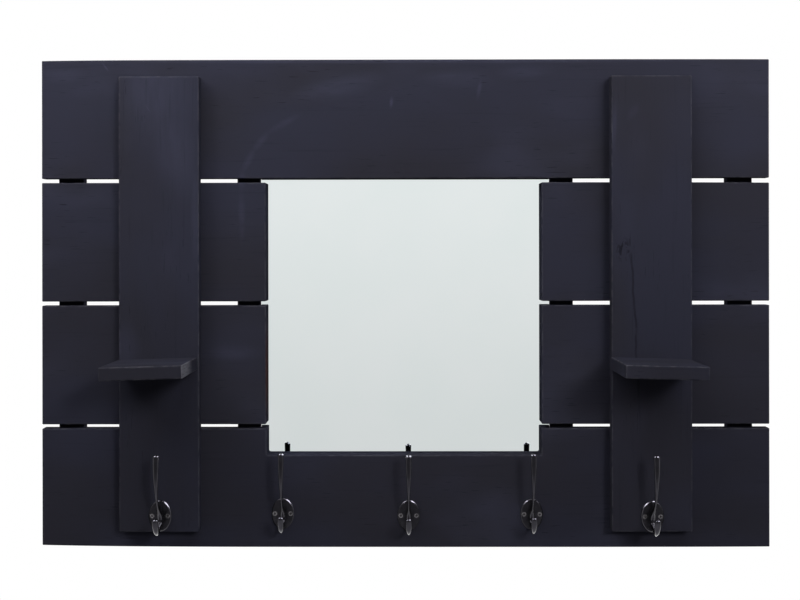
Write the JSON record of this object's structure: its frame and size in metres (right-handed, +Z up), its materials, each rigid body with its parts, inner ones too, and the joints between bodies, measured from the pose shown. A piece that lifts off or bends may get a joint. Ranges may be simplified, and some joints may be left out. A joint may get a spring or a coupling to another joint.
{
  "type": "wall mirror with hooks",
  "caption": "Wall panel of painted planks around a square mirror, with small block shelves, a row of double coat hooks and swinging hanging rings behind.",
  "frame": {"origin": "on the wall plane, which is the rear face of the battens, at the middle of the panel's width and height", "axes": "+X to the viewer's right, +Y into the wall, +Z up"},
  "size_m": [0.9144, 0.148, 0.6134],
  "materials": {
    "plank_paint": "dark slate paint, thin and satin, over softwood",
    "board_paint": "dark slate paint, thin and satin, over softwood",
    "shelf_paint": "dark slate paint, thin and satin, over sawn softwood with worn edges",
    "batten_wood": "dark slate paint over sawn softwood",
    "mirror": "silvered plate glass",
    "hardboard": "bare brown hardboard",
    "hook_metal": "dark gunmetal lacquer, satin",
    "hook_screw_metal": "dark gunmetal, satin",
    "zinc_fittings": "zinc plated",
    "brad_metal": "painted over"
  },
  "bodies": {
    "panel": {"backing_board": "hardboard", "batten_screws": "zinc_fittings", "board_brads": "brad_metal", "clip_screws": "zinc_fittings", "front_board_left": "board_paint", "front_board_right": "board_paint", "hanger_screws": "zinc_fittings", "hanger_strap_left": "zinc_fittings", "hanger_strap_right": "zinc_fittings", "hook_1": "hook_metal", "hook_2": "hook_metal", "hook_3": "hook_metal", "hook_4": "hook_metal", "hook_5": "hook_metal", "hook_screws": "hook_screw_metal", "inner_batten_left": "batten_wood", "inner_batten_right": "batten_wood", "mirror_clips_bottom": "zinc_fittings", "mirror_clips_top": "zinc_fittings", "mirror_glass": "mirror", "outer_batten_left": "batten_wood", "outer_batten_right": "batten_wood", "plank_bottom": "plank_paint", "plank_lower_left": "plank_paint", "plank_lower_right": "plank_paint", "plank_top": "plank_paint", "plank_upper_left": "plank_paint", "plank_upper_right": "plank_paint", "shelf_left": "shelf_paint", "shelf_right": "shelf_paint", "shelf_screws": "zinc_fittings"},
    "ring_left": {"hanger_ring_left": "zinc_fittings"},
    "ring_right": {"hanger_ring_right": "zinc_fittings"}
  },
  "joints": [
    {"name": "ring_swing_left", "type": "hinge", "parent": "panel", "child": "ring_left", "pos_m": [-0.31157, -0.01342, 0.26665], "axis": [1, 0, 0], "range_deg": [0, 178]},
    {"name": "ring_swing_right", "type": "hinge", "parent": "panel", "child": "ring_right", "pos_m": [0.31157, -0.01342, 0.26665], "axis": [1, 0, 0], "range_deg": [0, 178]}
  ]
}
